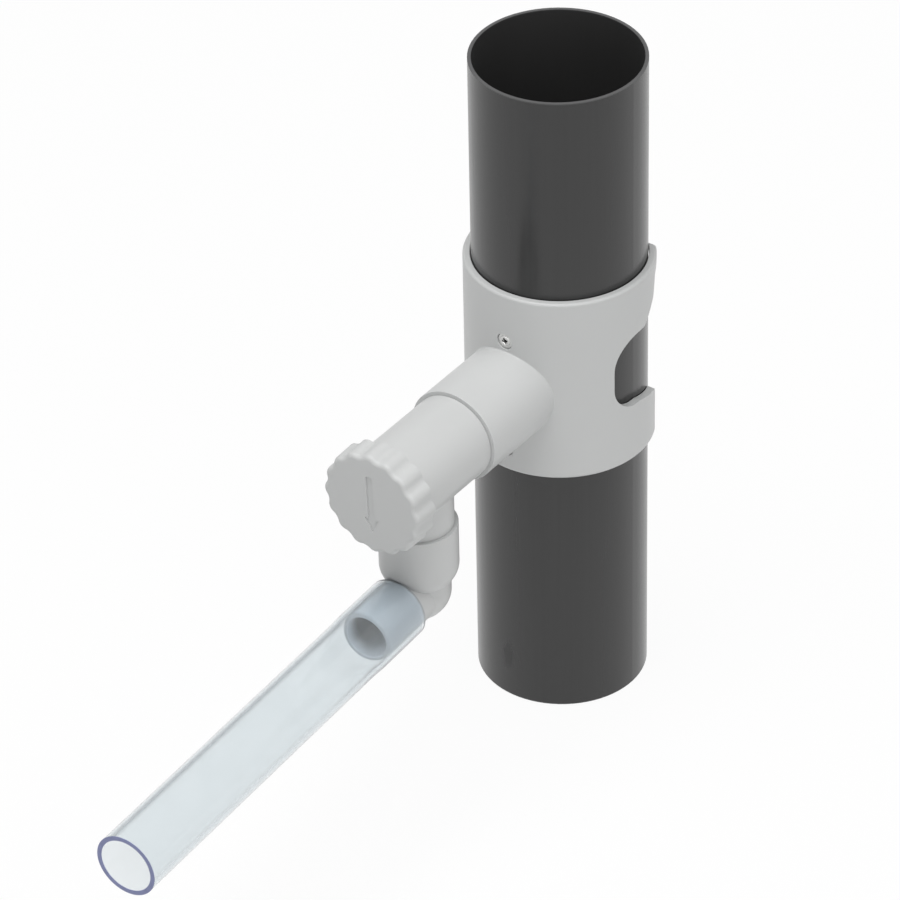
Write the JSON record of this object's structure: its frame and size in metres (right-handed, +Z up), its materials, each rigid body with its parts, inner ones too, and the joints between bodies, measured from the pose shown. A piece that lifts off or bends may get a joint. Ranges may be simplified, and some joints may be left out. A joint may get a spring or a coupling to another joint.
{
  "type": "rainwater diverter",
  "caption": "Rainwater diverter: a saddle clip with branch, turning control knob, inner scoop and swivelling outlet elbow with clear hose, on a length of round downpipe.",
  "frame": {"origin": "centre of the downpipe's lower end, on its axis", "axes": "+Z up along the downpipe, -Y along the branch towards the knob, +X to the right seen from the knob"},
  "size_m": [0.082, 0.3551, 0.312],
  "materials": {
    "pipe_plastic": "satin",
    "grey_plastic": "satin",
    "inner_plastic": "satin",
    "seal_rubber": "matte",
    "screw_steel": "satin",
    "clear_plastic": "gloss"
  },
  "bodies": {
    "pipe_and_clip": {"downpipe": "pipe_plastic", "saddle_clip": "grey_plastic", "saddle_gasket": "seal_rubber", "fixing_screws": "screw_steel", "valve_body": "grey_plastic", "branch_seal": "seal_rubber", "outlet_seal": "seal_rubber"},
    "control": {"control_knob": "grey_plastic", "diverter_scoop": "inner_plastic", "front_scoop_seal": "seal_rubber", "rear_scoop_seal": "seal_rubber"},
    "outlet": {"outlet_elbow": "grey_plastic", "clear_hose": "clear_plastic"}
  },
  "joints": [
    {"name": "knob_turn", "type": "hinge", "parent": "pipe_and_clip", "child": "control", "pos_m": [0, -0.105, 0.1657], "axis": [0, -1, 0], "range_deg": [-2.2, 177.8]},
    {"name": "elbow_swivel", "type": "hinge", "parent": "pipe_and_clip", "child": "outlet", "pos_m": [0, -0.1047, 0.12], "axis": [0, 0, 1], "range_deg": [-149, 144]}
  ]
}
